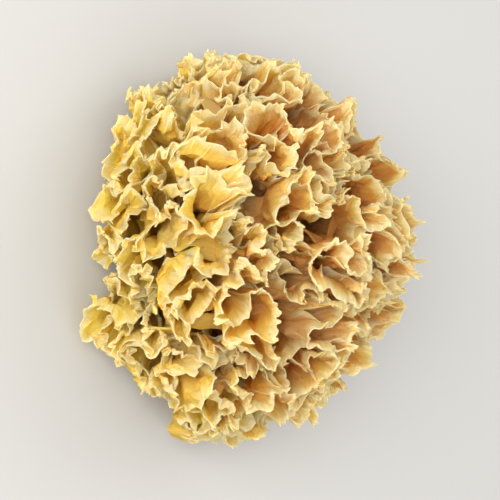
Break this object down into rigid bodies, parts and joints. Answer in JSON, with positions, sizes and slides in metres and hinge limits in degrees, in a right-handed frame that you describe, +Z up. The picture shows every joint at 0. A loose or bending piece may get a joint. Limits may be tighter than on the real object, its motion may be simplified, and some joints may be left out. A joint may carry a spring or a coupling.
{
  "type": "snow fungus",
  "caption": "Dried snow fungus head: a dome of thin, crisp, ruffled fronds that branch from a small flat-cut base.",
  "frame": {"origin": "centre of the flat cut face under the base", "axes": "+Z up out of the cut face through the middle of the dome, +X along the head's longest width"},
  "size_m": [0.0726, 0.0641, 0.0473],
  "materials": {
    "frond": "dried jelly fungus: thin, crisp and horn-like, translucent, cream at the margins and amber in the hollows, with a slight gloss",
    "base": "dried, hard and rough, orange-brown, with a matt cut face"
  },
  "bodies": {
    "root": {"base": "base", "frond_heart": "frond", "frond_inner_1": "frond", "frond_inner_2": "frond", "frond_inner_3": "frond", "frond_upper_1": "frond", "frond_upper_2": "frond", "frond_upper_3": "frond", "frond_upper_4": "frond", "frond_middle_1": "frond", "frond_middle_2": "frond", "frond_middle_3": "frond", "frond_middle_4": "frond", "frond_lower_1": "frond", "frond_lower_2": "frond", "frond_lower_3": "frond", "frond_lower_4": "frond", "frond_lower_5": "frond", "frond_outer_1": "frond", "frond_outer_2": "frond", "frond_outer_3": "frond", "frond_outer_4": "frond", "frond_outer_5": "frond", "frond_outer_6": "frond"}
  },
  "joints": []
}
